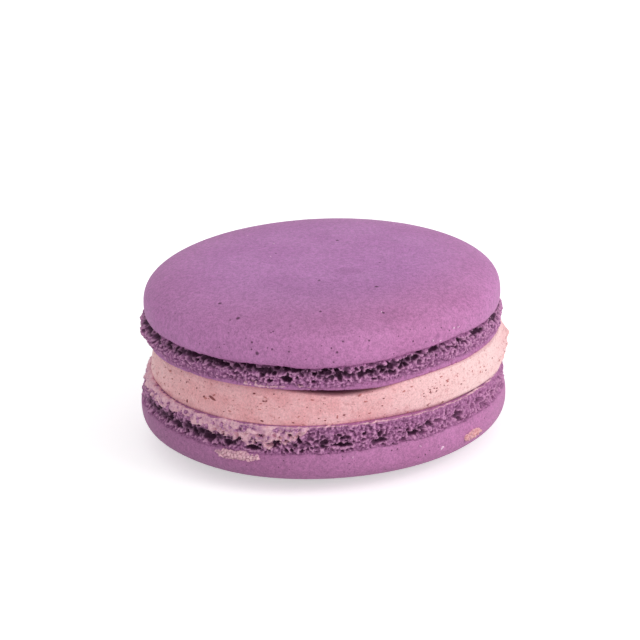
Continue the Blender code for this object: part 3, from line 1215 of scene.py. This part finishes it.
def pale_crumbs(material):
    """A few small pale crumbs on the caps."""
    heap = Scatter(410)

    def on_side(shell, degrees, height, size):
        phi = math.radians(degrees)
        radius = float(shell.side_radius(np.array(phi), np.array(height)))
        out = shell.outward(phi, 0.0)
        for _ in range(3):
            aside = heap.chance.normal(0.0, 0.35 * size, 2)
            place = shell.world(phi + aside[0] / shell.radius, radius, height + aside[1])
            heap.add(place, out, size, 0.6 * size, 0.45 * size, heap.chance.uniform(-40.0, 40.0))

    def on_top(x, y, size):
        out = np.array([x, y, 60.0]) / math.hypot(x, y, 60.0)
        heap.add(upper.cap_place(x, y), out, size, 0.7 * size, 0.5 * size, heap.chance.uniform(0.0, 180.0))

    on_side(lower, 38.0, 5.4, 0.4)
    on_side(lower, 30.0, 4.2, 0.16)
    on_side(lower, 8.0, 4.1, 0.14)
    on_top(-9.1, 10.4, 0.22)
    on_top(-5.8, 5.5, 0.2)
    on_top(-6.2, 0.4, 0.18)
    on_side(upper, 44.6, 4.75, 0.22)
    on_side(upper, 46.6, 4.7, 0.2)
    on_side(upper, 39.1, 3.75, 0.2)
    on_side(upper, 35.9, 4.1, 0.16)
    on_side(upper, 22.0, 7.8, 0.14)
    heap.build("pale_crumbs", material, "shell")


# ---- light, floor, camera ----


CAMERA_DISTANCE = 420.0 * MM
CAMERA_ELEVATION = math.radians(20.2)
CAMERA_ROLL = math.radians(2.43)
CAMERA_TARGET = Vector((-0.18, 0.0, 14.32)) * MM
VIEW_WIDTH = 80.0 * MM

WORLD_LIGHT = 0.69
FLOOR_LIFT = 0.5


def build_camera():
    data = bpy.data.cameras.new("camera")
    data.sensor_width = 36.0
    data.lens = data.sensor_width * CAMERA_DISTANCE / VIEW_WIDTH
    data.clip_start = 0.01
    data.clip_end = 10.0
    camera = bpy.data.objects.new("camera", data)
    back = Vector((0.0, -math.cos(CAMERA_ELEVATION), math.sin(CAMERA_ELEVATION)))
    turn = back.to_track_quat("Z", "Y").to_matrix() @ Matrix.Rotation(-CAMERA_ROLL, 3, "Z")
    camera.matrix_world = Matrix.Translation(CAMERA_TARGET + back * CAMERA_DISTANCE) @ turn.to_4x4()
    bpy.context.scene.collection.objects.link(camera)
    bpy.context.scene.camera = camera


def area_light(name, azimuth, elevation, distance, size, strength):
    """A square lamp that faces the macaron. strength 1 is a plain level on a surface turned to it."""
    data = bpy.data.lights.new(name, "AREA")
    data.shape = "SQUARE"
    data.size = size
    data.energy = strength * math.pi * math.pi * distance**2
    lamp = bpy.data.objects.new(name, data)
    a, e = math.radians(azimuth), math.radians(elevation)
    back = Vector((math.sin(a) * math.cos(e), -math.cos(a) * math.cos(e), math.sin(e)))
    lamp.location = CAMERA_TARGET + back * distance
    lamp.rotation_euler = back.to_track_quat("Z", "Y").to_euler()
    bpy.context.scene.collection.objects.link(lamp)


def build_world():
    world = bpy.data.worlds.new("studio")
    world.use_nodes = True
    tree = world.node_tree
    ground = tree.nodes["Background"]
    path = tree.nodes.new("ShaderNodeLightPath")
    seen = tree.nodes.new("ShaderNodeMath")
    seen.operation = "MAXIMUM"
    tree.links.new(path.outputs["Is Camera Ray"], seen.inputs[0])
    tree.links.new(path.outputs["Is Transmission Ray"], seen.inputs[1])
    level = tree.nodes.new("ShaderNodeMapRange")
    level.inputs["To Min"].default_value = WORLD_LIGHT
    level.inputs["To Max"].default_value = 1.0
    tree.links.new(seen.outputs[0], level.inputs["Value"])
    ground.inputs["Color"].default_value = (1.0, 1.0, 1.0, 1.0)
    tree.links.new(level.outputs["Result"], ground.inputs["Strength"])
    bpy.context.scene.world = world


def build_floor():
    half = 1.5
    corners = [(-half, -half, 0.0), (half, -half, 0.0), (half, half, 0.0), (-half, half, 0.0)]
    mesh = bpy.data.meshes.new("floor")
    mesh.from_pydata(corners, [], [(0, 1, 2, 3)])
    mesh.materials.append(floor_material())
    floor = bpy.data.objects.new("floor", mesh)
    floor.location.z = cad_low.z
    bpy.context.scene.collection.objects.link(floor)


# ---- the whole ----


TOP_PINHOLES = [
    (-10.2, -16.7, 0.24),
    (-12.4, -12.7, 0.22),
    (6.6, -11.2, 0.22),
    (7.2, -17.5, 0.17),
    (2.2, 5.5, 0.2),
    (-0.3, -17.3, 0.16),
    (-0.3, -8.9, 0.16),
]
SIDE_PINHOLES = [
    (-21.2, 4.45, 0.22),
    (-23.0, 5.7, 0.13),
    (-16.3, 5.1, 0.12),
    (-11.0, 4.9, 0.11),
    (3.8, 4.7, 0.14),
    (5.8, 5.9, 0.11),
    (14.0, 5.7, 0.11),
    (28.5, 4.7, 0.12),
]

upper = UpperShell("shell_upper", 1.0, 22.2, 4.2, (2.62, 2.97), 22.05, 21.75, 100, UPPER_CAVERNS)
lower = LowerShell("shell_lower", -1.0, 22.9, 4.2, (3.4, 3.4), 22.5, 22.65, 200, LOWER_CAVERNS)

shell_skin = shell_material()
cream = cream_material()
smear = smear_material("smeared_cream", rgb(252, 206, 216), rgb(234, 176, 194), rgb(198, 136, 174))
orange = smear_material("browned_crumb", rgb(250, 196, 196), rgb(226, 150, 152), rgb(204, 142, 176))
fruit = bit_material("fruit", FLECK_COLOUR, rgb(158, 84, 84))
fruit_smear = bit_material("fruit_smear", rgb(206, 130, 126), rgb(184, 106, 108))
pale = bit_material("pale_crumb", rgb(250, 224, 240), rgb(226, 176, 212))

upper_foot = build_shell(upper, shell_skin)
lower_foot = build_shell(lower, shell_skin)
build_cream(cream)
smear_lower_foot(lower_foot, smear)
traces_on_upper_lip(upper_foot, smear)
dab_on_cap("buttercream_dab", lower, -28.5, 3.1, 3.85, 4.6, 0.26, 0.6, 320, smear)
dab_on_cap("browned_crumb", lower, 52.0, 1.7, 4.85, 5.75, 0.26, 0.45, 330, orange)
fruit_flecks(fruit)
browned_bits(fruit_smear)
pale_crumbs(pale)

build_camera()
build_world()
build_floor()
area_light("key", azimuth=62.0, elevation=28.0, distance=0.5, size=0.3, strength=0.42)

bpy.context.scene.view_settings.view_transform = "Standard"
